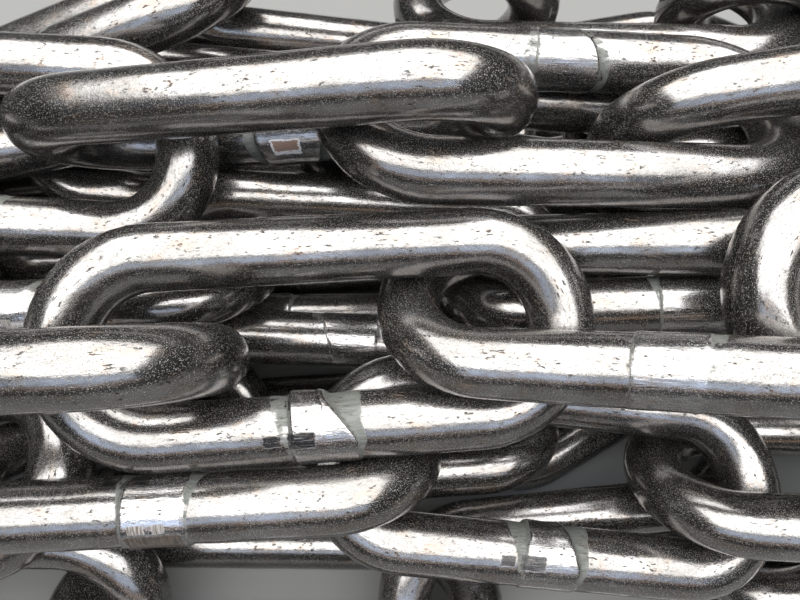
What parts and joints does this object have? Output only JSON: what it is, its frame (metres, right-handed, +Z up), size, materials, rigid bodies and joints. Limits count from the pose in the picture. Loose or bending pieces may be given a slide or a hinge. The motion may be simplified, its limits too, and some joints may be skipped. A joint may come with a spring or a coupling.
{
  "type": "heap of chain",
  "caption": "Heap of long-link round-bar chain lying loose on a level floor, its rows of oval welded links laid over one another.",
  "frame": {"origin": "centre of the heap's bounding box in plan, on the floor it lies on", "axes": "+Z up; +X to the right along the rows of chain, which is the longest way across the heap; +Y away from the front"},
  "size_m": [0.4984, 0.2092, 0.1134],
  "materials": {
    "lacquered_steel": "dark lacquered steel with a soft gloss, dull grey weld bands, dust and a few rust spots"
  },
  "bodies": {
    "root": {"back_01": "lacquered_steel", "back_02": "lacquered_steel", "back_03": "lacquered_steel", "back_04": "lacquered_steel", "back_05": "lacquered_steel", "floor_inner_01": "lacquered_steel", "floor_inner_02": "lacquered_steel", "floor_inner_03": "lacquered_steel", "floor_inner_04": "lacquered_steel", "floor_inner_05": "lacquered_steel", "floor_inner_06": "lacquered_steel", "floor_outer_01": "lacquered_steel", "floor_outer_02": "lacquered_steel", "floor_outer_03": "lacquered_steel", "floor_outer_04": "lacquered_steel", "floor_outer_05": "lacquered_steel", "floor_outer_06": "lacquered_steel", "floor_outer_07": "lacquered_steel", "floor_outer_08": "lacquered_steel", "front_01": "lacquered_steel", "front_02": "lacquered_steel", "front_03": "lacquered_steel", "front_04": "lacquered_steel", "front_05": "lacquered_steel", "front_06": "lacquered_steel", "front_07": "lacquered_steel", "second_01": "lacquered_steel", "second_02": "lacquered_steel", "second_03": "lacquered_steel", "second_04": "lacquered_steel", "second_05": "lacquered_steel", "second_06": "lacquered_steel", "second_07": "lacquered_steel", "second_08": "lacquered_steel", "second_09": "lacquered_steel", "second_10": "lacquered_steel", "second_11": "lacquered_steel", "second_12": "lacquered_steel", "second_13": "lacquered_steel", "second_14": "lacquered_steel", "third_01": "lacquered_steel", "third_02": "lacquered_steel", "third_03": "lacquered_steel", "third_04": "lacquered_steel", "third_05": "lacquered_steel", "third_06": "lacquered_steel", "third_07": "lacquered_steel", "third_08": "lacquered_steel", "third_09": "lacquered_steel", "third_10": "lacquered_steel", "third_11": "lacquered_steel", "top_01": "lacquered_steel", "top_02": "lacquered_steel", "top_03": "lacquered_steel", "top_04": "lacquered_steel", "top_05": "lacquered_steel", "top_06": "lacquered_steel"}
  },
  "joints": []
}
